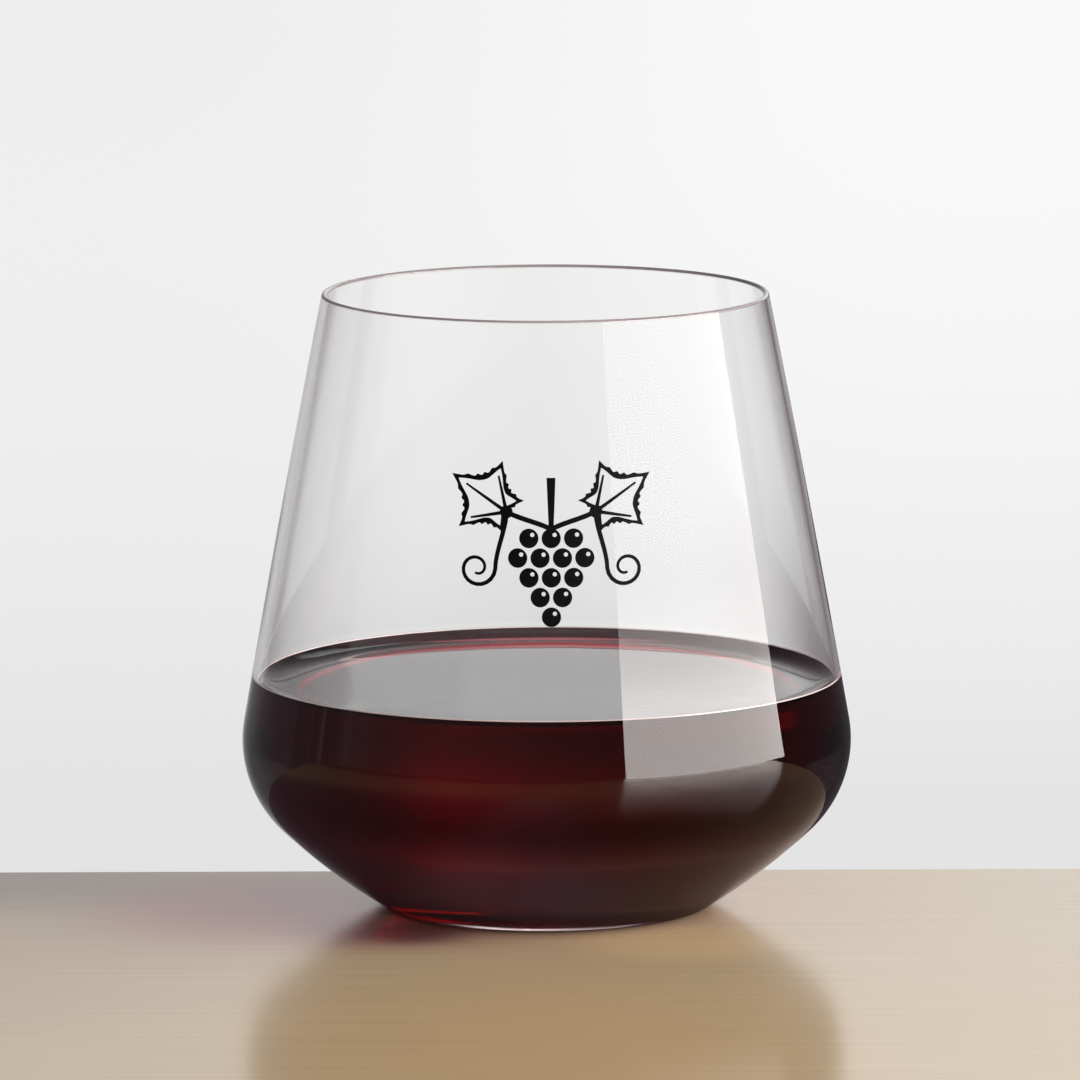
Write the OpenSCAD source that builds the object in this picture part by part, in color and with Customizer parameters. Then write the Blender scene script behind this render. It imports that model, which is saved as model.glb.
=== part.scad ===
// Stemless wine glass, blown in one piece, holding a pour of red wine, with a
// small vine sprig printed in black ink on the front of its wall.
// Millimetres. The axis of the glass is Z, the foot rests on z = 0, and the
// print faces -Y.

/* [Glass] */
// Height from the table to the top of the rim
glass_h = 102; // [92:0.5:120]
// Outer diameter at the rim
rim_d = 73.6; // [66:0.2:80]
// Outer diameter at the widest point
belly_d = 100.6; // [92:0.2:108]
// Height of the widest point above the table
belly_h = 27.7; // [24:0.1:31]
// Radius of the turn between the wall and the flank
belly_r = 19.5; // [16:0.1:22]
// Radius of the slight outward bow of the upper wall
wall_bow_r = 3060; // [900:10:6000]
// Radius of the slight outward bow of the flank under the belly
flank_bow_r = 110; // [80:1:200]

/* [Foot] */
// Diameter of the circle on which the glass rests
foot_d = 51.8; // [46:0.2:56]
// Radius of the rounded edge between foot and flank
foot_edge_r = 2.3; // [1:0.1:4]
// Width of the flat ring that touches the table
foot_ring_w = 2.4; // [1:0.1:6]
// Rise of the hollow under the foot, at its centre
punt_h = 0.8; // [0.2:0.1:1.5]

/* [Thickness] */
// Thickness of the wall at the rim
rim_t = 0.9; // [0.7:0.05:1.4]
// Thickness of the wall at the belly
belly_t = 1.05; // [0.8:0.05:1.8]
// Thickness of the base at the axis, from the table to the inner floor
floor_t = 4.1; // [3:0.1:6]
// Thickness of the heel, where the inner floor turns up into the flank
heel_t = 3.45; // [2.6:0.05:4.4]
// Radius of the turn between the inner floor and the inner flank
floor_turn_r = 21; // [14:0.5:26]
// Radius of the bow of the inner flank
inner_bow_r = 90; // [60:1:200]

/* [Wine] */
// Height of the wine's flat surface above the table
wine_h = 36.7; // [32:0.1:60]
// Height that the wine's edge climbs up the wall
meniscus_h = 1.9; // [0.8:0.1:2.5]
// Width of the raised edge of the wine
meniscus_w = 3.2; // [2:0.1:5]

/* [Print] */
// Height of the middle of the print above the table
print_h = 67.2; // [58:0.2:78]
// Distance of the middle of the print to the right of the axis
print_x = 0.8; // [-4:0.1:4]
// Thickness of the fired ink
ink_t = 0.06; // [0.03:0.01:0.2]
// Width of the printed lines
line_w = 0.8; // [0.4:0.05:1.1]
// Radius of one printed grape
grape_r = 1.55; // [1.2:0.05:1.7]
// Distance between the centres of neighbouring grapes
grape_pitch = 3.6; // [3.5:0.05:4.2]
// Reach of a printed leaf from its middle to its tip
leaf_r = 7.6; // [6:0.1:8.4]
// Distance of each leaf's middle from the middle of the print
leaf_x = 9.6; // [9:0.1:11]
// Height of each leaf's middle above the middle of the print
leaf_y = 6.2; // [4:0.1:7.5]
// Outer radius of the curled tendrils
tendril_r = 3; // [2:0.1:3.6]

/* [Hidden] */

// Round stretches: how many straight steps each arc of the profile takes
lip_steps = 6;
wall_steps = 10;
belly_steps = 18;
flank_steps = 10;
turn_steps = 8;
round_fn = 96;
dot_fn = 32;
glint_fn = 16;

// Colours
glass_tint = [0.86, 0.88, 0.88, 0.35];
wine_red = [0.24, 0.02, 0.05];
ink_black = [0.02, 0.02, 0.02];

// Plane geometry: [radius, height] pairs
function angle_to(from, to) = atan2(to[1] - from[1], to[0] - from[0]);
function on_circle(centre, r, a) = centre + r * [cos(a), sin(a)];
function arc(centre, r, a0, a1, steps) =
    [for (i = [0 : steps]) on_circle(centre, r, a0 + (a1 - a0) * i / steps)];
// The point at distance ra from a and rb from b, on the axis side of the line from a to b
function meet(a, ra, b, rb) =
    let (d = norm(b - a), along = (ra * ra - rb * rb + d * d) / (2 * d), u = (b - a) / d)
    a + u * along + [-u[1], u[0]] * sqrt(ra * ra - along * along);

// Centres of the outer arcs: each bow touches the two rounds at its ends
lip_r = rim_t / 2;
lip_c = [rim_d / 2 - lip_r, glass_h - lip_r];
belly_c = [belly_d / 2 - belly_r, belly_h];
edge_c = [foot_d / 2, foot_edge_r];
wall_c = meet(belly_c, wall_bow_r - belly_r, lip_c, wall_bow_r - lip_r);
flank_c = meet(edge_c, flank_bow_r - foot_edge_r, belly_c, flank_bow_r - belly_r);

// Centres of the inner arcs: the floor's turn keeps the heel's thickness from the outer flank
inner_belly_r = belly_r - belly_t;
turn_reach = flank_bow_r - heel_t - floor_turn_r;
turn_h = floor_t + floor_turn_r;
turn_c = [flank_c[0] + sqrt(turn_reach * turn_reach - pow(flank_c[1] - turn_h, 2)), turn_h];
inner_wall_c = meet(belly_c, wall_bow_r - inner_belly_r, lip_c, wall_bow_r + lip_r);
inner_flank_c = meet(turn_c, inner_bow_r - floor_turn_r, belly_c, inner_bow_r - inner_belly_r);

// The outer side of the upper wall, from the lip down to the belly, moved outward by a skin
function wall_line(skin) =
    arc(wall_c, wall_bow_r + skin, angle_to(wall_c, lip_c), angle_to(wall_c, belly_c), wall_steps);

// The outside of the glass, from the top of the lip down to the table
outer_profile = concat(
    arc(lip_c, lip_r, 90, angle_to(wall_c, lip_c), lip_steps),
    wall_line(0),
    arc(belly_c, belly_r, angle_to(wall_c, belly_c), angle_to(flank_c, belly_c), belly_steps),
    arc(flank_c, flank_bow_r, angle_to(flank_c, belly_c), angle_to(flank_c, edge_c), flank_steps),
    arc(edge_c, foot_edge_r, angle_to(flank_c, edge_c), -90, lip_steps));

// The inside of the glass, from the inner floor at the axis up to the lip
inner_profile = concat(
    [[0, floor_t]],
    arc(turn_c, floor_turn_r, -90, angle_to(inner_flank_c, turn_c), turn_steps),
    arc(inner_flank_c, inner_bow_r, angle_to(inner_flank_c, turn_c),
        angle_to(inner_flank_c, belly_c), flank_steps),
    arc(belly_c, inner_belly_r, angle_to(inner_flank_c, belly_c),
        angle_to(inner_wall_c, belly_c), belly_steps),
    arc(inner_wall_c, wall_bow_r, angle_to(inner_wall_c, belly_c),
        angle_to(inner_wall_c, lip_c), wall_steps));

// The hollow under the foot is part of a large sphere that meets the ring
punt_edge_r = foot_d / 2 - foot_ring_w;
punt_sphere_r = (punt_edge_r * punt_edge_r + punt_h * punt_h) / (2 * punt_h);
punt_c = [0, punt_h - punt_sphere_r];
punt_profile = arc(punt_c, punt_sphere_r, angle_to(punt_c, [punt_edge_r, 0]), 90, flank_steps);

// Radius of the inside of the glass at a height on the belly or the upper wall
function inner_radius(z) =
    z > on_circle(belly_c, inner_belly_r, angle_to(inner_wall_c, belly_c))[1]
    ? inner_wall_c[0] + wall_bow_r * cos(asin((z - inner_wall_c[1]) / wall_bow_r))
    : belly_c[0] + inner_belly_r * cos(asin((z - belly_h) / inner_belly_r));

// Removes points that follow each other at the same place
same_place = ink_t / 100;
function distinct(points) =
    [for (i = [0 : len(points) - 1])
        if (i == 0 || norm(points[i] - points[i - 1]) > same_place) points[i]];

module cavity_section() {
    polygon(distinct(concat(inner_profile, [[0, glass_h]])));
}

// The blown vessel: rounded lip, bowed wall, round belly, thick base and foot ring
module glass_bowl() {
    color(glass_tint)
    rotate_extrude($fn = round_fn)
        polygon(distinct(concat(
            outer_profile,
            punt_profile,
            inner_profile,
            arc(lip_c, lip_r, 180 + angle_to(inner_wall_c, lip_c), 90, lip_steps))));
}

// The wine: fills the bowl face to face, and its edge climbs the wall in a hollow curve
module wine() {
    surface_r = inner_radius(wine_h);
    rise = [for (i = [0 : turn_steps])
        let (share = i / turn_steps)
        [surface_r - meniscus_w * (1 - share), wine_h + meniscus_h * share * share * share]];
    color(wine_red)
    rotate_extrude($fn = round_fn)
        intersection() {
            cavity_section();
            polygon(concat(
                [[0, 0], [belly_d / 2, 0], [belly_d / 2, wine_h + meniscus_h]],
                [for (i = [turn_steps : -1 : 0]) rise[i]],
                [[0, wine_h]]));
        }
}

// Print: a traditional vine sprig, drawn flat about its own middle and wrapped on the wall

// A band along points, with a width at each: out along its right side and back along its left
function heading(points, i) =
    let (a = points[max(i - 1, 0)], b = points[min(i + 1, len(points) - 1)]) (b - a) / norm(b - a);
function side_step(points, i) = [-heading(points, i)[1], heading(points, i)[0]] / 2;
function band(points, widths) =
    let (last = len(points) - 1)
    concat(
        [for (i = [0 : last]) points[i] - side_step(points, i) * widths[i]],
        [for (i = [last : -1 : 0]) points[i] + side_step(points, i) * widths[i]]);

// A cubic curve between two places with two pull points
function pull(p, t) =
    p[0] * pow(1 - t, 3) + p[1] * 3 * t * pow(1 - t, 2) + p[2] * 3 * t * t * (1 - t) + p[3] * pow(t, 3);

// The bunch: how many grapes hang in each row, from the top down, nested like balls
grapes_in_row = [3, 4, 3, 2, 1];
grape_row_h = grape_pitch * sin(60);
bunch_drop_share = 0.76;
bunch_top = leaf_y - leaf_r * bunch_drop_share;
glint_share = 0.22;
glint_place_share = 0.36;

// One grape: a disc with a small bare glint
module grape() {
    difference() {
        circle(r = grape_r, $fn = dot_fn);
        translate([grape_r, grape_r] * glint_place_share) circle(r = grape_r * glint_share, $fn = glint_fn);
    }
}

module bunch() {
    for (row = [0 : len(grapes_in_row) - 1])
        for (i = [0 : grapes_in_row[row] - 1])
            translate([(i - (grapes_in_row[row] - 1) / 2) * grape_pitch, bunch_top - row * grape_row_h])
                grape();
}

// A lobed leaf about its middle, with its tip along X: toothed outside and smooth inside
leaf_steps = 120;
lobe_count = 5;
lobe_turn = 360 / lobe_count;
teeth_per_lobe = 5;
lobe_sharpness = 1.3;
leaf_tilt = 34;
body_share = 0.6;
lobe_share = 0.34;
tooth_share = 0.06;
tip_share = 0.18;
vein_root_share = 0.38;
vein_reach_share = 0.68;
vein_width_shares = [0.8, 0.4];
knuckle_share = 1.3;
function leaf_reach(a) =
    leaf_r * (1 + tip_share * (cos(a) - 1))
    * (body_share + lobe_share * pow(1 - abs(sin(a * 180 / lobe_turn)), lobe_sharpness));
function tooth(a) = leaf_r * tooth_share * (1 - abs(sin(a * 180 * teeth_per_lobe / lobe_turn)));

module leaf() {
    vein_root = [-leaf_r * vein_root_share, 0];
    angles = [for (i = [0 : leaf_steps - 1]) 360 * i / leaf_steps];
    difference() {
        polygon([for (a = angles) on_circle([0, 0], leaf_reach(a) + tooth(a), a)]);
        polygon([for (a = angles) on_circle([0, 0], leaf_reach(a) - line_w, a)]);
    }
    for (lobe = [-1 : 1])
        polygon(band(
            [vein_root, on_circle([0, 0], leaf_reach(lobe * lobe_turn) * vein_reach_share, lobe * lobe_turn)],
            line_w * vein_width_shares));
    translate(vein_root) circle(r = line_w * knuckle_share, $fn = dot_fn);
}

// The cane: a short thick piece of stem, and a bow on each side that runs to the leaf
bow_steps = 12;
cane_sink_share = 0.94;
cane_top_share = 0.5;
cane_width_shares = [1, 1.8];
bow_lift_share = 0.16;
bow_ease_share = 0.35;
leaf_root = [leaf_x, leaf_y] - leaf_r * vein_root_share * [cos(leaf_tilt), sin(leaf_tilt)];
cane_foot = [0, bunch_top + grape_r * cane_sink_share];
cane_top = [0, leaf_y + leaf_r * cane_top_share];

module cane() {
    polygon(band([cane_foot, cane_top], line_w * cane_width_shares));
}

module leaf_bow() {
    ease = [leaf_root[0] * bow_ease_share, leaf_r * bow_lift_share];
    points = [for (i = [0 : bow_steps])
        pull([cane_foot, cane_foot + ease, leaf_root - ease, leaf_root], i / bow_steps)];
    polygon(band(points, [for (p = points) line_w]));
}

// A tendril: a tail that leaves the leaf's root and winds up into a thinning spiral
tendril_steps = 26;
tendril_turn = 470;
tendril_close_share = 0.75;
tendril_thin_share = 0.5;
tendril_side_share = 0.8;
tail_ease_share = 0.9;
tendril_c = [leaf_x + tendril_r * tendril_side_share, leaf_y - leaf_r - tendril_r];

module tendril() {
    ease = [0, tendril_r * tail_ease_share];
    spiral = [for (i = [0 : tendril_steps])
        let (share = i / tendril_steps)
        on_circle(tendril_c, tendril_r * (1 - tendril_close_share * share), 180 + tendril_turn * share)];
    tail = [for (i = [0 : bow_steps - 1])
        pull([leaf_root, leaf_root - ease, spiral[0] + ease, spiral[0]], i / bow_steps)];
    points = concat(tail, spiral);
    polygon(band(points,
        [for (i = [0 : len(points) - 1]) line_w * (1 - tendril_thin_share * i / len(points))]));
}

module middle_drawing() {
    bunch();
    cane();
}

// The right half of the sprig beside the bunch; the left half is its mirror image
module side_drawing() {
    leaf_bow();
    tendril();
    translate([leaf_x, leaf_y]) rotate(leaf_tilt) leaf();
}

// The ink: a thin skin on the wall, cut to the drawing
module printed_sprig() {
    skin = concat(wall_line(0), [for (i = [wall_steps : -1 : 0]) wall_line(ink_t)[i]]);
    color(ink_black)
    intersection() {
        rotate_extrude($fn = round_fn) polygon(skin);
        translate([print_x, 0, print_h]) rotate([90, 0, 0]) {
            linear_extrude(belly_d / 2) middle_drawing();
            for (side = [0, 1])
                mirror([side, 0, 0]) linear_extrude(belly_d / 2) side_drawing();
        }
    }
}

glass_bowl();
wine();
printed_sprig();
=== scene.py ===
import math

import bpy
import numpy as np
from mathutils import Euler, Matrix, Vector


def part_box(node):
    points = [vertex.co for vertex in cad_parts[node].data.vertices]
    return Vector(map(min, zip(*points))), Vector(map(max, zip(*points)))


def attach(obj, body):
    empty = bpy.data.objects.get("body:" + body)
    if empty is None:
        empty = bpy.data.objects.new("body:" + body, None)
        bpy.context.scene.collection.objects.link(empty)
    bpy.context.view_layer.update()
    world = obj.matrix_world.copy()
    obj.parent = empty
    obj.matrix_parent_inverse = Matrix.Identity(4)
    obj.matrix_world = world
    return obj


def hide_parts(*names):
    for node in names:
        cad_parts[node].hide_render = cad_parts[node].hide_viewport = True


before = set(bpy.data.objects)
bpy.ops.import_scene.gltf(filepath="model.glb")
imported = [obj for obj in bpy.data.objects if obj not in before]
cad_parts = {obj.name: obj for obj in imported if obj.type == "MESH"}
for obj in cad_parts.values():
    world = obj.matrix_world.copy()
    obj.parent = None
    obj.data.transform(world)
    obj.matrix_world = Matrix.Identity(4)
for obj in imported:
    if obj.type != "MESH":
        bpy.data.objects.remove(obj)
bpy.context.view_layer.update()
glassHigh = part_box("glass_bowl")[1]
print("stage: frame loaded")


# Small helpers for meshes and materials

def makeObject(name, verts, faces, mats, smooth=True, matIndex=None):
    # One object at the origin, with its place in its mesh
    mesh = bpy.data.meshes.new(name)
    mesh.from_pydata(verts.tolist(), [], faces)
    mesh.polygons.foreach_set("use_smooth", np.full(len(mesh.polygons), smooth))
    for mat in mats:
        mesh.materials.append(mat)
    if matIndex is not None:
        mesh.polygons.foreach_set("material_index", matIndex)
    mesh.update()
    obj = bpy.data.objects.new(name, mesh)
    bpy.context.scene.collection.objects.link(obj)
    return obj


def newMaterial(name):
    mat = bpy.data.materials.new(name)
    mat.use_nodes = True
    mat.node_tree.nodes.clear()
    return mat, mat.node_tree


def addNode(tree, kind, values=None, **settings):
    # A node with its settings, and the sockets named in values set to numbers or linked
    node = tree.nodes.new(kind)
    for key, setting in settings.items():
        setattr(node, key, setting)
    for key, value in (values or {}).items():
        if isinstance(value, bpy.types.NodeSocket):
            tree.links.new(value, node.inputs[key])
        else:
            node.inputs[key].default_value = value
    return node


def mathNode(tree, operation, first, second=0.0, clamp=False):
    return addNode(tree, "ShaderNodeMath", {0: first, 1: second}, operation=operation, use_clamp=clamp).outputs[0]


def ramp(tree, value, start, end, low, high):
    # goes smoothly from low to high as value goes from start to end
    return addNode(tree, "ShaderNodeMapRange", {
        "Value": value, "From Min": start, "From Max": end, "To Min": low, "To Max": high},
        interpolation_type="SMOOTHERSTEP").outputs[0]


def blend(tree, factor, first, second):
    return addNode(tree, "ShaderNodeMix", {0: factor, 2: first, 3: second}, data_type="FLOAT").outputs[0]


def blendColour(tree, factor, first, second):
    return addNode(tree, "ShaderNodeMix", {0: factor, 6: first, 7: second}, data_type="RGBA").outputs[2]


def product(tree, *values):
    total = values[0]
    for value in values[1:]:
        total = mathNode(tree, "MULTIPLY", total, value)
    return total


def span(tree, value, rise, fall):
    # 1 between a rise and a fall, each given by its start and end, and 0 outside them
    return product(tree, ramp(tree, value, *rise, 0.0, 1.0), ramp(tree, value, *fall, 1.0, 0.0))


def lastReflected(tree, path):
    # 1 for a ray whose last turn was a reflection, because a refracted ray counts as glossy too
    return product(tree, path.outputs["Is Glossy Ray"], mathNode(
        tree, "SUBTRACT", 1.0, path.outputs["Is Transmission Ray"]))


def curveNode(tree, value, points):
    # a curve through points of value and result, level beyond its ends
    first, last = points[0][0], points[-1][0]
    top = max(y for x, y in points)
    place = addNode(tree, "ShaderNodeMapRange", {"Value": value, "From Min": first, "From Max": last}).outputs[0]
    node = addNode(tree, "ShaderNodeValToRGB", {0: place})
    stops = node.color_ramp.elements
    for i, (x, y) in enumerate(points):
        at = (x - first) / (last - first)
        stop = stops[i] if i < 2 else stops.new(at)
        stop.position = at
        stop.color = (y / top, y / top, y / top, 1)
    return mathNode(tree, "MULTIPLY", node.outputs[0], top)


# Camera: where the photograph was taken from

cameraView = {
    "distance": 1.750,
    "height": 0.327,
    "sideways": -0.0010,
    "pitchDown": 8.650,
    "roll": 0.2,
    "sensor": 36.0,
    "focalPixels": 10734.0,
    "framePixels": 1080.0,
}


def makeCamera():
    data = bpy.data.cameras.new("camera")
    data.sensor_fit = "HORIZONTAL"
    data.sensor_width = cameraView["sensor"]
    # the focal length in mm is the one in pixels times the sensor's width over the picture's
    data.lens = cameraView["focalPixels"] * cameraView["sensor"] / cameraView["framePixels"]
    camera = bpy.data.objects.new("camera", data)
    camera.location = (cameraView["sideways"], -cameraView["distance"], cameraView["height"])
    # looks along +Y, turned down, and rolled about its own line of sight
    tilt = math.radians(90 - cameraView["pitchDown"])
    camera.rotation_mode = "XYZ"
    turn = Euler((tilt, 0, 0)).to_matrix() @ Matrix.Rotation(math.radians(-cameraView["roll"]), 3, "Z")
    camera.rotation_euler = turn.to_euler()
    bpy.context.scene.collection.objects.link(camera)
    bpy.context.scene.camera = camera


makeCamera()
print("stage: camera placed")


# Section of the glass: arcs that touch each other, in metres

glassShape = {
    "rimDiameter": 0.0736,
    "bellyHeight": 0.0277,
    "bellyRadius": 0.0195,
    "wallBow": 3.060,
    "flankBow": 0.110,
    "footDiameter": 0.0518,
    "footEdge": 0.0023,
    "footRing": 0.0024,
    "puntRise": 0.0008,
    "rimThickness": 0.0009,
    "bellyThickness": 0.00105,
    "floorThickness": 0.0041,
    "heelThickness": 0.00345,
    "floorTurn": 0.021,
    "innerBow": 0.090,
    # how many steps each arc of the section has, and the steps round the glass
    "footSteps": 14, "flankSteps": 26, "bellySteps": 44, "wallSteps": 32, "lipSteps": 8,
    "floorSteps": 6, "turnSteps": 16, "innerFlankSteps": 22, "puntSteps": 8,
    "turns": 300,
    # points nearer than this to the one before are left out
    "leastStep": 1e-7,
}


def angleTo(start, end):
    return math.atan2(end[1] - start[1], end[0] - start[0])


def arc(centre, radius, start, end, steps):
    # Points on a circle from one angle to another
    a = np.linspace(start, end, steps + 1)
    return np.stack([centre[0] + radius * np.cos(a), centre[1] + radius * np.sin(a)], 1)


def bow(centre, radius, start, end, steps):
    # The same with points that crowd at both ends by t squared times (3 - 2t), which keeps the shading even
    # next to a tight curve
    t = np.linspace(0, 1, steps + 1)
    a = start + (end - start) * t * t * (3 - 2 * t)
    return np.stack([centre[0] + radius * np.cos(a), centre[1] + radius * np.sin(a)], 1)


def meet(a, ra, b, rb):
    # The point at distance ra from a and rb from b, on the axis side: so far along the line between them that
    # both right triangles share their height, and then across it by that height
    d = np.hypot(*(b - a))
    along = (ra * ra - rb * rb + d * d) / (2 * d)
    u = (b - a) / d
    return a + u * along + np.array([-u[1], u[0]]) * math.sqrt(ra * ra - along * along)


def glassSections():
    # Each part is an arc that touches the next. Outside: the foot's edge, flank, belly, wall and half the lip.
    # Inside: the floor, its turn, flank, belly and wall. Then the lip's other half, and the hollow under the foot.
    s = glassShape
    lipR = s["rimThickness"] / 2
    lip = np.array([s["rimDiameter"] / 2 - lipR, glassHigh.z - lipR])
    belly = np.array([glassHigh.x - s["bellyRadius"], s["bellyHeight"]])
    edge = np.array([s["footDiameter"] / 2, s["footEdge"]])
    wall = meet(belly, s["wallBow"] - s["bellyRadius"], lip, s["wallBow"] - lipR)
    flank = meet(edge, s["flankBow"] - s["footEdge"], belly, s["flankBow"] - s["bellyRadius"])
    outer = np.concatenate([
        arc(edge, s["footEdge"], -math.pi / 2, angleTo(flank, edge), s["footSteps"]),
        bow(flank, s["flankBow"], angleTo(flank, edge), angleTo(flank, belly), s["flankSteps"])[1:],
        arc(belly, s["bellyRadius"], angleTo(flank, belly), angleTo(wall, belly), s["bellySteps"])[1:],
        bow(wall, s["wallBow"], angleTo(wall, belly), angleTo(wall, lip), s["wallSteps"])[1:],
        arc(lip, lipR, angleTo(wall, lip), math.pi / 2, s["lipSteps"])[1:]])
    innerR = s["bellyRadius"] - s["bellyThickness"]
    # the floor's turn keeps the heel's thickness from the outer flank
    reach = s["flankBow"] - s["heelThickness"] - s["floorTurn"]
    turnHeight = s["floorThickness"] + s["floorTurn"]
    turn = np.array([flank[0] + math.sqrt(reach ** 2 - (flank[1] - turnHeight) ** 2), turnHeight])
    innerWall = meet(belly, s["wallBow"] - innerR, lip, s["wallBow"] + lipR)
    innerFlank = meet(turn, s["innerBow"] - s["floorTurn"], belly, s["innerBow"] - innerR)
    across = np.linspace(0, 1, s["floorSteps"] + 1)[:-1, None]
    inner = np.concatenate([
        across * [turn[0], 0] + [0, s["floorThickness"]],
        arc(turn, s["floorTurn"], -math.pi / 2, angleTo(innerFlank, turn), s["turnSteps"]),
        bow(innerFlank, s["innerBow"], angleTo(innerFlank, turn), angleTo(innerFlank, belly), s["innerFlankSteps"])[1:],
        arc(belly, innerR, angleTo(innerFlank, belly), angleTo(innerWall, belly), s["bellySteps"])[1:],
        bow(innerWall, s["wallBow"], angleTo(innerWall, belly), angleTo(innerWall, lip), s["wallSteps"])[1:]])
    lipInside = arc(lip, lipR, math.pi / 2, math.pi + angleTo(innerWall, lip), s["lipSteps"])[1:]
    # the sphere through the hollow's edge and its top: its radius is (edge squared + rise squared) / twice the rise
    puntR = s["footDiameter"] / 2 - s["footRing"]
    sphere = (puntR ** 2 + s["puntRise"] ** 2) / (2 * s["puntRise"])
    puntC = np.array([0, s["puntRise"] - sphere])
    punt = arc(puntC, sphere, math.pi / 2, angleTo(puntC, (puntR, 0)), s["puntSteps"])
    return outer, inner, lipInside, punt


def revolve(section, turns, bandIndex):
    # A section from one point on the axis to another, turned about Z: a grid of angle by section, with a pole
    # at each end. bandIndex has the material of each step of the section.
    ring = section[1:-1]
    a = np.arange(turns) * 2 * math.pi / turns
    verts = np.stack([
        np.outer(ring[:, 0], np.cos(a)),
        np.outer(ring[:, 0], np.sin(a)),
        np.repeat(ring[:, 1:], turns, 1)], 2).reshape(-1, 3)
    verts = np.concatenate([verts, [[0, 0, section[0, 1]], [0, 0, section[-1, 1]]]])
    i, j = np.meshgrid(np.arange(len(ring) - 1), np.arange(turns), indexing="ij")
    k = (j + 1) % turns
    quads = np.stack([i * turns + j, i * turns + k, (i + 1) * turns + k, (i + 1) * turns + j], 2).reshape(-1, 4)
    j = np.arange(turns)
    k = (j + 1) % turns
    first, last, top = len(verts) - 2, len(verts) - 1, (len(ring) - 1) * turns
    caps = np.concatenate([
        np.stack([np.full(turns, first), k, j], 1),
        np.stack([np.full(turns, last), top + j, top + k], 1)])
    index = np.concatenate([
        np.repeat(bandIndex[1:-1], turns), np.full(turns, bandIndex[0]), np.full(turns, bandIndex[-1])])
    return verts, quads.tolist() + caps.tolist(), index


outerSide, innerSide, lipInside, punt = glassSections()


def makeGlass(mats):
    # mats: the glass, its inside where wine touches it, and the fire-polished rim
    section = np.concatenate([punt, outerSide, lipInside, innerSide[::-1]])
    inside = np.concatenate([np.zeros(len(punt) + len(outerSide) + len(lipInside)), np.ones(len(innerSide))])
    keep = np.concatenate([[True], np.hypot(*(section[1:] - section[:-1]).T) > glassShape["leastStep"]])
    section, inside = section[keep], inside[keep]
    middle = (section[1:, 1] + section[:-1, 1]) / 2
    wet = (inside[1:] > 0) & (middle < wineShape["level"] + wineShape["edgeRise"])
    bands = np.where(wet, 1, np.where(middle > glassHigh.z - glassShape["rimThickness"] / 2, 2, 0))
    verts, faces, index = revolve(section, glassShape["turns"], bands)
    glass = makeObject("blown_glass", verts, faces, mats, matIndex=index)
    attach(glass, "root")
    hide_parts("glass_bowl")


# Wine: fills the glass, laps a little into its wall so that no air shows between them

wineShape = {
    "level": 0.0367,
    "edgeRise": 0.0019,
    "edgeLength": 0.0016,
    "lap": 0.000015,
    "paleRing": 0.00014,
    "paleRim": 0.00022,
    "firstStep": 0.00003,
    "surfaceSteps": 60,
}


def makeWine(mats):
    # mats: the free surface, the face that touches the glass, and the thin pale edge with its painted highlight
    s = wineShape
    # the inside of the glass, moved into the wall by the lap
    along = np.gradient(innerSide, axis=0)
    outward = np.stack([along[:, 1], -along[:, 0]], 1) / np.hypot(*along.T)[:, None]
    wall = innerSide + outward * s["lap"]
    wall[0, 0] = 0
    contact = s["level"] + s["edgeRise"]
    paleFrom = contact - s["paleRim"]
    upright = wall[glassShape["floorSteps"] + glassShape["turnSteps"]:]
    contactR, paleR = np.interp([contact, paleFrom], upright[:, 1], upright[:, 0])
    below = np.concatenate([wall[wall[:, 1] < paleFrom], [[paleR, paleFrom]]])
    # the surface: flat, and climbing to the wall by a rise that fades as exp(-distance / edge length)
    away = np.concatenate([[0], np.geomspace(s["firstStep"], contactR, s["surfaceSteps"])])
    rise = s["edgeRise"] * np.exp(-away / s["edgeLength"])
    top = np.stack([contactR - away, s["level"] + rise], 1)
    top[-1, 0] = 0
    section = np.concatenate([below, top])
    step = np.arange(len(section) - 1)
    bands = np.where(step < len(below) - 1, 1, 0)
    bands[(step >= len(below) - 1) & (contactR - section[1:, 0] < s["paleRing"])] = 2
    verts, faces, index = revolve(section, glassShape["turns"], bands)
    wine = makeObject("red_wine_pour", verts, faces, mats, matIndex=index)
    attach(wine, "root")
    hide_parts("wine")


# Materials

glassFinish = {
    "ior": 1.5, "tint": (0.985, 0.986, 0.986, 1), "shadow": (0.86, 0.87, 0.87, 1),
    # painted reflection: how much the outer wall mirrors by height, and the blue tint of its mirror image low on the
    # flank
    "shine": ((0.0, 0.36), (0.021, 0.36), (0.029, 1.0), (0.0400, 1.0), (0.046, 0.62), (0.060, 0.20)),
    "wetShine": 0.07, "flankTint": (0.70, 0.66, 1.0, 1), "flankTo": (0.018, 0.030),
    # painted light: the rim's mauve colour and part-clear look stand in for the light it carries up from the wine
    "rimPaintedWineLight": (0.76, 0.66, 0.68, 1), "rimClearness": 0.72, "rimRoughness": 0.15,
    "waveScale": (90.0, 90.0, 35.0), "waveHeight": 0.00002,
}
wineFinish = {
    "ior": 1.345, "tint": (1, 0.93, 0.93, 1), "shadow": (0.66, 0.13, 0.34, 1),
    "absorbed": (0.888, 0.13, 0.21, 1), "density": 300.0, "shine": 1.0, "wetShine": 0.02,
    # the thin edge's pale colour: partly its real paleness and partly a painted highlight line
    "paleEdgeHighlight": (0.66, 0.54, 0.53, 1), "edgeRoughness": 0.35,
}
inkFinish = {
    "colour": (0.002, 0.002, 0.0022, 1), "worn": (0.006, 0.006, 0.0065, 1),
    "roughness": (0.42, 0.6), "specular": 0.05, "grain": 2600.0,
}


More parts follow.
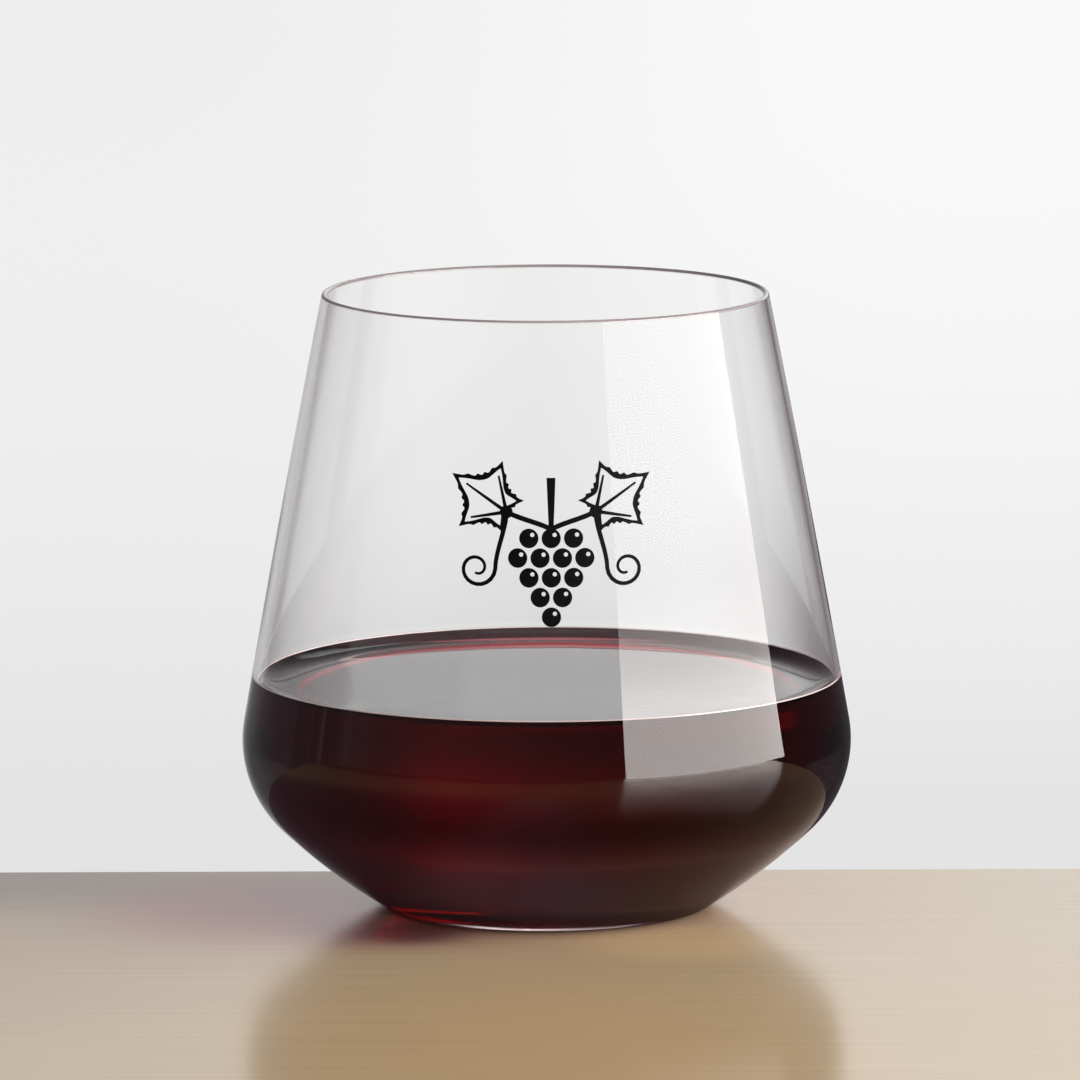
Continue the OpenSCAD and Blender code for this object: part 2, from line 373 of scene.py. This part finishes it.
def glassLike(tree, finish, shine):
    # A clear body for camera paths, and a tinted hole for shadow rays, so that its shadow is soft and coloured.
    # shine is the share of the mirror reflection that is left where two clear things touch.
    body = addNode(tree, "ShaderNodeBsdfPrincipled", {
        "Base Color": finish["tint"], "Roughness": 0.0, "IOR": finish["ior"], "Transmission Weight": 1.0,
        "Specular Tint": (shine, shine, shine, 1)})
    hole = addNode(tree, "ShaderNodeBsdfTransparent", {"Color": finish["shadow"]})
    path = addNode(tree, "ShaderNodeLightPath")
    both = addNode(tree, "ShaderNodeMixShader", {
        0: path.outputs["Is Shadow Ray"], 1: body.outputs[0], 2: hole.outputs[0]})
    out = addNode(tree, "ShaderNodeOutputMaterial", {"Surface": both.outputs[0]})
    return body, out


def makeGlassMaterial():
    # clear glass with a faint waviness, drawn out along the wall; painted reflection: the wall near the rim and low on
    # the flank mirrors less, and the low flank's mirror image is tinted blue
    f = glassFinish
    mat, tree = newMaterial("clear_glass_finish")
    body = glassLike(tree, f, 1.0)[0]
    place = addNode(tree, "ShaderNodeTexCoord").outputs["Object"]
    height = addNode(tree, "ShaderNodeSeparateXYZ", {0: place}).outputs[2]
    # painted reflection: a blue tint low on the flank, and a mirror strength that changes with height
    tint = blendColour(tree, ramp(tree, height, *f["flankTo"], 0.0, 1.0), f["flankTint"], (1, 1, 1, 1))
    shine = curveNode(tree, height, f["shine"])
    tree.links.new(blendColour(tree, shine, (0, 0, 0, 1), tint), body.inputs["Specular Tint"])
    stretch = addNode(tree, "ShaderNodeMapping", {"Vector": place, "Scale": f["waveScale"]})
    wave = addNode(tree, "ShaderNodeTexNoise", {"Vector": stretch.outputs[0], "Scale": 1.0, "Detail": 1.0})
    bump = addNode(tree, "ShaderNodeBump", {"Height": wave.outputs[0], "Distance": f["waveHeight"]})
    tree.links.new(bump.outputs[0], body.inputs["Normal"])
    return mat


def makeWettedMaterial():
    # glass against wine hardly mirrors
    mat, tree = newMaterial("clear_glass_wetted")
    glassLike(tree, glassFinish, glassFinish["wetShine"])
    return mat


def makeRimMaterial():
    # the fire-polished rim, with painted light: a mauve, partly clear look that stands in for the wine's light the rim
    # carries and the light it catches
    f = glassFinish
    mat, tree = newMaterial("clear_glass_rim")
    body = glassLike(tree, f, 1.0)[0]
    body.inputs["Base Color"].default_value = f["rimPaintedWineLight"]
    body.inputs["Transmission Weight"].default_value = f["rimClearness"]
    body.inputs["Roughness"].default_value = f["rimRoughness"]
    return mat


def makeWineMaterial(name, shine):
    # dark wine that absorbs light by the length of its way through it
    mat, tree = newMaterial(name)
    out = glassLike(tree, wineFinish, shine)[1]
    inside = addNode(tree, "ShaderNodeVolumeAbsorption", {
        "Color": wineFinish["absorbed"], "Density": wineFinish["density"]})
    tree.links.new(inside.outputs[0], out.inputs["Volume"])
    return mat


def makeWineEdgeMaterial():
    # the wine is so thin where it climbs the wall that it looks pale; this edge is an opaque pale ring, partly that
    # real paleness and partly a painted highlight line
    mat, tree = newMaterial("pale_wine_edge_painted_highlight")
    body = addNode(tree, "ShaderNodeBsdfPrincipled", {
        "Base Color": wineFinish["paleEdgeHighlight"], "Roughness": wineFinish["edgeRoughness"]})
    addNode(tree, "ShaderNodeOutputMaterial", {"Surface": body.outputs[0]})
    return mat


def makeInkMaterial():
    # fired ink: nearly black, with a fine unevenness in its cover and its gloss
    f = inkFinish
    mat, tree = newMaterial("black_ink_finish")
    place = addNode(tree, "ShaderNodeTexCoord")
    grain = addNode(tree, "ShaderNodeTexNoise", {"Vector": place.outputs["Object"], "Scale": f["grain"], "Detail": 2.0})
    colour = blendColour(tree, grain.outputs[0], f["colour"], f["worn"])
    rough = addNode(tree, "ShaderNodeMapRange", {
        "Value": grain.outputs[0], "To Min": f["roughness"][0], "To Max": f["roughness"][1]}).outputs[0]
    body = addNode(tree, "ShaderNodeBsdfPrincipled", {
        "Base Color": colour, "Roughness": rough, "Specular IOR Level": f["specular"]})
    addNode(tree, "ShaderNodeOutputMaterial", {"Surface": body.outputs[0]})
    return mat


makeGlass([makeGlassMaterial(), makeWettedMaterial(), makeRimMaterial()])
makeWine([
    makeWineMaterial("red_wine_surface", wineFinish["shine"]),
    makeWineMaterial("red_wine_body", wineFinish["wetShine"]),
    makeWineEdgeMaterial()])
print("stage: glass and wine made")

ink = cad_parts["printed_sprig"]
ink.data.materials.clear()
ink.data.materials.append(makeInkMaterial())
print("stage: print inked")


# Stage: a pale table top whose back edge lies just behind the glass

table = {
    "left": -1.3, "right": 1.3, "front": -1.6, "back": 0.0295, "thickness": 0.03, "drop": 0.00005,
    "light": (0.737, 0.576, 0.374, 1), "dark": (0.595, 0.465, 0.300, 1),
    "roughness": (0.15, 0.19), "specular": 0.40,
    "grainScale": (14.0, 700.0, 700.0), "grainDepth": 0.00002,
    # painted shade: how much dimmer the top is painted away from the glass, from where, and how much more on the left
    "dimmer": 0.62, "dimFrom": (0.20, 0.80), "dimLeft": (0.70, 1.0), "dimAcross": (-0.45, 0.15),
    # the shadow where the glass touches it: its middle, and the light that is kept by distance from there
    "contactAt": (-0.001, 0.0, 0.0),
    "contact": ((0.0240, 0.06), (0.0258, 0.14), (0.0272, 0.40), (0.0290, 0.70), (0.0310, 0.88), (0.0340, 1.0)),
    # painted shade as the glass mirrors it, darker and cooler: left, straight below and right, how far out, and the
    # same shadow there
    "paintedMirrorShadeLeft": (0.27, 0.20, 0.25, 1), "paintedMirrorShadeMiddle": (0.52, 0.50, 0.56, 1),
    "paintedMirrorShadeRight": (0.46, 0.35, 0.24, 1), "mirroredAcross": ((-0.036, -0.010), (-0.004, 0.026)),
    "mirroredFar": (0.10, 0.16),
    "mirroredContact": ((0.0240, 0.06), (0.0262, 0.11), (0.0280, 0.26), (0.0297, 0.43), (0.0314, 0.63), (0.0340, 0.80),
                        (0.0375, 0.92), (0.0430, 1.0)),
    # painted light and shade: the shadows of the glass and the wine, pink where light comes through the wine, and
    # lighter and darker patches
    # for each: middle, half widths, colour, and where each fades out
    "paintedLightAndShade": (((-0.026, -0.024, 0), (0.027, 0.024, 0.02), (0.60, 0.48, 0.68, 1)),
              ((-0.022, -0.026, 0), (0.014, 0.016, 0.02), (0.46, 0.34, 0.36, 1)),
              ((0.022, -0.036, 0), (0.026, 0.024, 0.02), (1.22, 1.20, 1.04, 1)),
              ((-0.050, -0.004, 0), (0.040, 0.052, 0.02), (0.93, 0.49, 0.64, 1)),
              ((-0.098, 0.022, 0), (0.060, 0.045, 0.02), (0.50, 0.49, 0.57, 1)),
              ((-0.100, -0.040, 0), (0.090, 0.110, 0.02), (0.86, 0.83, 0.80, 1)),
              ((0.110, 0.000, 0), (0.100, 0.140, 0.02), (0.97, 1.04, 1.14, 1)),
              ((0.000, -0.130, 0), (0.070, 0.120, 0.02), (1.10, 1.00, 0.85, 1))),
    "tintFade": (0.1, 1.0),
}


def makeTableMaterial():
    # pale wood whose fine grain runs from left to right, with painted light and shade on it
    t = table
    mat, tree = newMaterial("table_wood_and_painted_light")
    place = addNode(tree, "ShaderNodeTexCoord").outputs["Object"]
    stretch = addNode(tree, "ShaderNodeMapping", {"Vector": place, "Scale": t["grainScale"]})
    grain = addNode(tree, "ShaderNodeTexNoise", {"Vector": stretch.outputs[0], "Scale": 1.0, "Detail": 3.0})
    colour = blendColour(tree, grain.outputs[0], t["light"], t["dark"])
    # painted shade: dimmer away from the glass, most of all on the left, and a painted shadow where the glass touches
    # it
    far = addNode(tree, "ShaderNodeVectorMath", {0: place}, operation="LENGTH").outputs["Value"]
    across = addNode(tree, "ShaderNodeSeparateXYZ", {0: place}).outputs[0]
    away = ramp(tree, far, *t["dimFrom"], 0.0, 1.0)
    side = ramp(tree, across, *t["dimAcross"], *t["dimLeft"])
    under = addNode(tree, "ShaderNodeVectorMath", {0: place, 1: t["contactAt"]}, operation="DISTANCE").outputs["Value"]
    kept = product(tree, blend(tree, away, 1.0, product(tree, side, t["dimmer"])), curveNode(tree, under, t["contact"]))
    colour = blendColour(tree, kept, (0, 0, 0, 1), colour)
    # painted light and shade, tinted inside an ellipse: (place - middle) / half widths has a length of 1 at its edge
    for middle, widths, tint in t["paintedLightAndShade"]:
        apart = addNode(tree, "ShaderNodeVectorMath", {0: place, 1: middle}, operation="SUBTRACT")
        apart = addNode(tree, "ShaderNodeVectorMath", {0: apart.outputs[0], 1: widths}, operation="DIVIDE")
        apart = addNode(tree, "ShaderNodeVectorMath", {0: apart.outputs[0]}, operation="LENGTH").outputs["Value"]
        inside = ramp(tree, apart, *t["tintFade"], 1.0, 0.0)
        colour = addNode(tree, "ShaderNodeMix", {
            0: inside, 6: colour, 7: tint}, data_type="RGBA", blend_type="MULTIPLY").outputs[2]
    # painted shade: darker colours as the glass mirrors it near by
    toMiddle, toRight = (ramp(tree, across, *ends, 0.0, 1.0) for ends in t["mirroredAcross"])
    mirrored = blendColour(tree, toMiddle, t["paintedMirrorShadeLeft"], t["paintedMirrorShadeMiddle"])
    mirrored = blendColour(tree, toRight, mirrored, t["paintedMirrorShadeRight"])
    mirrored = blendColour(tree, curveNode(tree, under, t["mirroredContact"]), (0, 0, 0, 1), mirrored)
    near = ramp(tree, far, *t["mirroredFar"], 1.0, 0.0)
    outerRay = lastReflected(tree, addNode(tree, "ShaderNodeLightPath"))
    colour = blendColour(tree, product(tree, outerRay, near), colour, mirrored)
    rough = addNode(tree, "ShaderNodeMapRange", {
        "Value": grain.outputs[0], "To Min": t["roughness"][0], "To Max": t["roughness"][1]}).outputs[0]
    bump = addNode(tree, "ShaderNodeBump", {"Height": grain.outputs[0], "Distance": t["grainDepth"]})
    body = addNode(tree, "ShaderNodeBsdfPrincipled", {
        "Base Color": colour, "Roughness": rough, "Specular IOR Level": t["specular"], "Normal": bump.outputs[0]})
    addNode(tree, "ShaderNodeOutputMaterial", {"Surface": body.outputs[0]})
    return mat


def makeTable():
    # a box between its stated sides, with its top just under the foot
    t = table
    top = -t["drop"]
    xs = (t["left"], t["right"])
    ys = (t["front"], t["back"])
    zs = (top - t["thickness"], top)
    verts = np.array([[x, y, z] for z in zs for y in ys for x in xs])
    faces = [(0, 2, 3, 1), (4, 5, 7, 6), (0, 1, 5, 4), (2, 6, 7, 3), (0, 4, 6, 2), (1, 3, 7, 5)]
    obj = makeObject("table_top", verts, faces, [makeTableMaterial()], smooth=False)
    return obj


tableTop = makeTable()
print("stage: table made")


# Light: a soft window on the right with slightly brighter edges, and a pale wall behind the table

window = {
    "azimuth": 116.0, "distance": 1.1, "width": 1.54, "bottom": 0.0, "height": 0.84,
    "radiance": 8.2, "onTable": 7.1,
    "edge": 0.016, "edgeRadiance": 3.0, "colour": (1, 0.943, 0.910),
}


def makeLamp(name, across, low, width, height, radiance, state):
    # An upright area lamp in the window's plane: across is from its middle, low is its lower edge.
    # state says whether it lights the table only (INCLUDE) or all but the table (EXCLUDE). The table's lamp isn't
    # mirrored; the room shows it instead. The power is radiance times pi times the area.
    a = math.radians(window["azimuth"])
    data = bpy.data.lights.new(name, "AREA")
    data.shape = "RECTANGLE"
    data.size = width
    data.size_y = height
    data.energy = radiance * math.pi * width * height
    data.color = window["colour"]
    lamp = bpy.data.objects.new(name, data)
    lamp.location = (
        math.sin(a) * window["distance"] - math.cos(a) * across,
        math.cos(a) * window["distance"] + math.sin(a) * across,
        low + height / 2)
    lamp.rotation_euler = (math.radians(90), 0, math.pi - a)
    lamp.visible_camera = False
    lamp.visible_transmission = False
    lamp.visible_glossy = state == "EXCLUDE"
    links = bpy.data.collections.new(name + "_links")
    links.objects.link(tableTop)
    links.collection_objects[0].light_linking.link_state = state
    lamp.light_linking.receiver_collection = links
    bpy.context.scene.collection.objects.link(lamp)


def makeWindow():
    w = window
    side = (w["width"] - w["edge"]) / 2
    makeLamp("window", 0, w["bottom"], w["width"], w["height"], w["radiance"], "EXCLUDE")
    makeLamp("window_edge_near", -side, w["bottom"], w["edge"], w["height"], w["edgeRadiance"], "EXCLUDE")
    makeLamp("window_edge_far", side, w["bottom"], w["edge"], w["height"], w["edgeRadiance"], "EXCLUDE")
    makeLamp("window_edge_low", 0, w["bottom"], w["width"], w["edge"], w["edgeRadiance"], "EXCLUDE")
    makeLamp("window_on_table", 0, w["bottom"], w["width"], w["height"], w["onTable"], "INCLUDE")


makeWindow()

# The room by direction from the glass, in degrees: azimuth from +Y towards +X, and elevation
room = {
    # the wall behind, as the camera sees it
    "level": 0.772, "rise": 0.286, "bend": -0.157, "from": -10.0, "over": 4.0,
    "lean": (0.003, 0.043), "leanSpan": 2.5, "overhead": 0.17, "overheadFrom": (-4.0, 8.0),
    "ambient": 0.18,
    # its unlit parts: through the glass, high and low, and in outer reflections, left and right
    "darkHigh": (0.100, 0.056, 0.066, 1), "darkLow": (0.048, 0.044, 0.046, 1), "darkFrom": (-17.0, -12.0),
    "darkLeft": (0.112, 0.105, 0.124, 1), "darkRight": (0.060, 0.052, 0.060, 1), "darkAcross": (-0.9, 0.9),
    # seen through the clear wall: from the middle to the right and to the left
    "wallRight": ((0.0, 0.96), (1.2, 1.0), (3.2, 0.96), (5.5, 0.95), (8.0, 0.92), (12.0, 0.6), (18.0, 0.3),
                  (24.0, 0.1)),
    "wallLeft": ((0.0, 0.96), (1.2, 1.01), (3.4, 0.92), (6.0, 0.90), (9.0, 0.87), (14.0, 0.82), (24.0, 0.66)),
    # and how much darker near the horizon
    "streakRight": ((1.5, 0.0), (3.0, 0.15), (3.8, 0.34), (5.3, 0.65), (7.0, 0.88), (9.0, 0.97)),
    "streakLeft": ((3.4, 0.02), (6.0, 0.06), (9.0, 0.16), (14.0, 0.32), (24.0, 0.55)), "streakDown": (-7.6, -9.4),
    # a bright part that keeps the left edge of the clear wall pale
    "edgeGlow": 0.72, "edgeAcross": ((-37.0, -29.0), (-10.0, -7.0)), "edgeUp": ((-7.2, -5.8), (-2.8, -1.6)),
    # seen through the wine, which turns left and right about: across, and from low to high
    "glowAcross": ((-60.0, 0.0), (-40.0, 0.04), (-30.0, 0.09), (-20.0, 0.21), (-14.0, 0.33), (-6.0, 0.50), (-3.0, 0.57),
                   (0.0, 0.68), (3.0, 0.85), (6.0, 1.0), (9.0, 1.03), (11.5, 0.95), (13.5, 0.75), (16.0, 0.44),
                   (20.0, 0.25), (24.0, 0.14), (30.0, 0.05), (36.0, 0.01), (44.0, 0.0)),
    "glowUp": ((-6.5, 0.9), (-4.0, 0.62), (0.0, 0.80), (3.0, 1.03), (5.8, 1.42), (7.0, 1.25), (8.5, 0.88), (9.5, 0.52),
               (10.3, 0.45), (10.9, 0.80), (11.6, 1.25), (13.5, 0.85), (18.0, 0.45), (24.0, 0.25), (40.0, 0.12)),
    "glowFrom": (-5.7, -5.1),
    # mirrored in the wine, just above the horizon
    "mirror": ((-4.0, 0.45), (-3.0, 0.66), (-2.06, 0.80), (-1.99, 1.01), (-0.69, 1.06), (-0.63, 1.11),
               (2.0, 1.12), (2.8, 1.25), (3.4, 1.68), (4.0, 1.50)),
    "mirrorAcross": (3.8, 5.0), "mirrorUp": ((8.3, 8.6), (10.1, 10.6)),
    # lit parts all round for other views, and a lamp overhead
    "frontPart": (24.0, 25.0), "panelEvery": 45.0, "panelSide": (14.0, 20.0), "panelTop": (-11.0, -8.5),
    "frontLevel": 0.8, "frontFrom": (88.0, 97.0), "frontTop": (40.0, 55.0),
    "bottom": (-20.0, -14.0), "below": (-60.0, -55.0), "belowLevel": 0.6,
    "overheadLamp": 0.95, "overheadEdge": (72.0, 75.0),
    # a small bright part that makes the red spark at the base
    "spark": 2.0, "sparkAcross": ((9.0, 13.0), (28.0, 34.0)), "sparkUp": ((29.0, 33.0), (40.0, 46.0)),
    # the window, where the glass sees it mirrored in the table
    "paneAcross": ((80.0, 82.0), (150.0, 152.0)), "paneTop": (32.0, 38.0),
    # seen in outer reflections, with upright stripes on the left
    "shineLeft": ((0.0, 1.0), (10.0, 1.0), (20.0, 0.84), (30.0, 0.58), (45.0, 0.28), (60.0, 0.1), (75.0, 0.0)),
    "shineRight": (3.0, 7.0), "shineHigh": (0.0, 3.0), "shineWide": (22.0, 40.0), "shineTop": (20.0, 40.0),
    "shineLean": (0.15, 1.45), "shineLeanAcross": (-30.0, 30.0),
    "stripes": 0.4, "stripePower": 4.0, "stripeScale": 0.22, "stripePart": ((-115.0, -100.0), (-66.0, -55.0)),
}


def makeWorld():
    r = room
    world = bpy.data.worlds.new("room")
    bpy.context.scene.world = world
    world.use_nodes = True
    tree = world.node_tree
    tree.nodes.clear()
    direction = addNode(tree, "ShaderNodeTexCoord").outputs["Generated"]
    xyz = addNode(tree, "ShaderNodeSeparateXYZ", {0: direction})
    azimuth = mathNode(tree, "DEGREES", mathNode(tree, "ARCTAN2", xyz.outputs[0], xyz.outputs[1]))
    elevation = mathNode(tree, "DEGREES", mathNode(tree, "ARCSINE", xyz.outputs[2]))
    away = mathNode(tree, "ABSOLUTE", azimuth)
    right = mathNode(tree, "GREATER_THAN", azimuth, 0.0)

    # brightness of the wall behind: level + height * (rise + bend * height), lighter to the right and overhead
    height = mathNode(tree, "DIVIDE", mathNode(tree, "SUBTRACT", elevation, r["from"]), r["over"], clamp=True)
    curve = mathNode(tree, "ADD", r["level"], product(
        tree, height, mathNode(tree, "ADD", r["rise"], product(tree, height, r["bend"]))))
    lean = product(tree, ramp(tree, azimuth, -r["leanSpan"], r["leanSpan"], -1.0, 1.0), mathNode(
        tree, "ADD", r["lean"][0], product(tree, height, r["lean"][1])))
    over = ramp(tree, elevation, *r["overheadFrom"], 0.0, r["overhead"])
    bright = mathNode(tree, "ADD", mathNode(tree, "ADD", curve, lean), over)

    # through the clear wall
    side = blend(tree, right, curveNode(tree, away, r["wallLeft"]), curveNode(tree, away, r["wallRight"]))
    streak = blend(tree, right, curveNode(tree, away, r["streakLeft"]), curveNode(tree, away, r["streakRight"]))
    streak = product(tree, streak, ramp(tree, elevation, r["streakDown"][1], r["streakDown"][0], 1.0, 0.0))
    clear = product(tree, side, bright, mathNode(tree, "SUBTRACT", 1.0, streak))
    # through the wine
    up = curveNode(tree, elevation, r["glowUp"])
    glow = product(tree, curveNode(tree, azimuth, r["glowAcross"]), up)
    front = blend(tree, ramp(tree, elevation, *r["glowFrom"], 0.0, 1.0), clear, glow)
    # mirrored in the wine
    mirror = curveNode(tree, azimuth, r["mirror"])
    path = addNode(tree, "ShaderNodeLightPath")
    reflected = mathNode(tree, "GREATER_THAN", path.outputs["Glossy Depth"], 0.5)
    inMirror = product(tree, reflected, ramp(tree, away, *r["mirrorAcross"], 1.0, 0.0), span(
        tree, elevation, *r["mirrorUp"]))
    front = blend(tree, inMirror, front, mirror)
    # all round
    turned = mathNode(tree, "PINGPONG", away, r["panelEvery"] / 2)
    panel = ramp(tree, turned, *r["panelSide"], 1.0, 0.0)
    low = ramp(tree, elevation, *r["panelTop"], 1.0, 0.0)
    roomFront = product(tree, ramp(tree, away, *r["frontFrom"], 0.0, r["frontLevel"]), ramp(
        tree, elevation, *r["frontTop"], 1.0, 0.0))
    around = blend(tree, low, mathNode(tree, "MAXIMUM", roomFront, glow), product(tree, panel, bright))
    outer = ramp(tree, away, *r["frontPart"], 0.0, 1.0)
    front = product(tree, front, ramp(tree, elevation, *r["bottom"], 0.0, 1.0))
    edge = product(tree, r["edgeGlow"], span(tree, azimuth, *r["edgeAcross"]), span(tree, elevation, *r["edgeUp"]))
    through = mathNode(tree, "MAXIMUM", blend(tree, outer, front, around), edge)
    through = blend(tree, ramp(tree, elevation, *r["below"], 1.0, 0.0), through, r["belowLevel"])
    through = mathNode(tree, "ADD", through, ramp(tree, elevation, *r["overheadEdge"], 0.0, r["overheadLamp"]))
    spark = product(tree, r["spark"], span(tree, azimuth, *r["sparkAcross"]), span(tree, elevation, *r["sparkUp"]))
    through = mathNode(tree, "ADD", through, spark)

    # in outer reflections
    narrow = blend(tree, right, curveNode(tree, away, r["shineLeft"]), ramp(tree, away, *r["shineRight"], 1.0, 0.0))
    wide = product(tree, ramp(tree, away, *r["shineWide"], 1.0, 0.0), ramp(tree, elevation, *r["shineTop"], 1.0, 0.0))
    noise = addNode(tree, "ShaderNodeTexNoise", {
        "W": azimuth, "Scale": r["stripeScale"], "Detail": 1.0}, noise_dimensions="1D").outputs[0]
    stripes = product(tree, mathNode(tree, "POWER", noise, r["stripePower"]), r["stripes"], span(
        tree, azimuth, *r["stripePart"]))
    shine = mathNode(tree, "ADD", stripes, product(
        tree, bright, ramp(tree, azimuth, *r["shineLeanAcross"], *r["shineLean"]),
        blend(tree, ramp(tree, elevation, *r["shineHigh"], 0.0, 1.0), narrow, wide)))

    # which of these a ray sees: where the wall is not fully lit, the rest is its dark colour
    outerRay = lastReflected(tree, path)
    wall = blend(tree, outerRay, through, shine)
    wall = blend(tree, path.outputs["Is Camera Ray"], wall, bright)
    wall = blend(tree, path.outputs["Is Diffuse Ray"], wall, r["ambient"])
    plain = mathNode(tree, "MAXIMUM", path.outputs["Is Camera Ray"], path.outputs["Is Diffuse Ray"])
    unlit = mathNode(tree, "SUBTRACT", 1.0, mathNode(tree, "MAXIMUM", plain, mathNode(tree, "MINIMUM", wall, 1.0)))
    darkThrough = blendColour(tree, ramp(tree, elevation, *r["darkFrom"], 0.0, 1.0), r["darkLow"], r["darkHigh"])
    darkShine = blendColour(tree, ramp(tree, xyz.outputs[0], *r["darkAcross"], 0.0, 1.0), r["darkLeft"], r["darkRight"])
    # the window as the glass sees it mirrored in the table, after two reflections
    twice = mathNode(tree, "GREATER_THAN", path.outputs["Glossy Depth"], 1.5)
    pane = product(tree, outerRay, twice, span(tree, azimuth, *r["paneAcross"]), ramp(
        tree, elevation, *r["paneTop"], window["onTable"], 0.0))
    pane = addNode(tree, "ShaderNodeBackground", {"Color": (*window["colour"], 1), "Strength": pane})
    white = addNode(tree, "ShaderNodeBackground", {"Color": (1, 1, 1, 1), "Strength": wall})
    dark = addNode(tree, "ShaderNodeBackground", {
        "Color": blendColour(tree, outerRay, darkThrough, darkShine), "Strength": unlit})
    both = addNode(tree, "ShaderNodeAddShader", {0: white.outputs[0], 1: dark.outputs[0]})
    both = addNode(tree, "ShaderNodeAddShader", {0: both.outputs[0], 1: pane.outputs[0]})
    addNode(tree, "ShaderNodeOutputWorld", {"Surface": both.outputs[0]})


makeWorld()
scene = bpy.context.scene
scene.view_settings.view_transform = "Standard"
scene.cycles.max_bounces = 24
scene.cycles.glossy_bounces = 16
scene.cycles.transmission_bounces = 24
scene.cycles.transparent_max_bounces = 24
print("stage: light and room made")
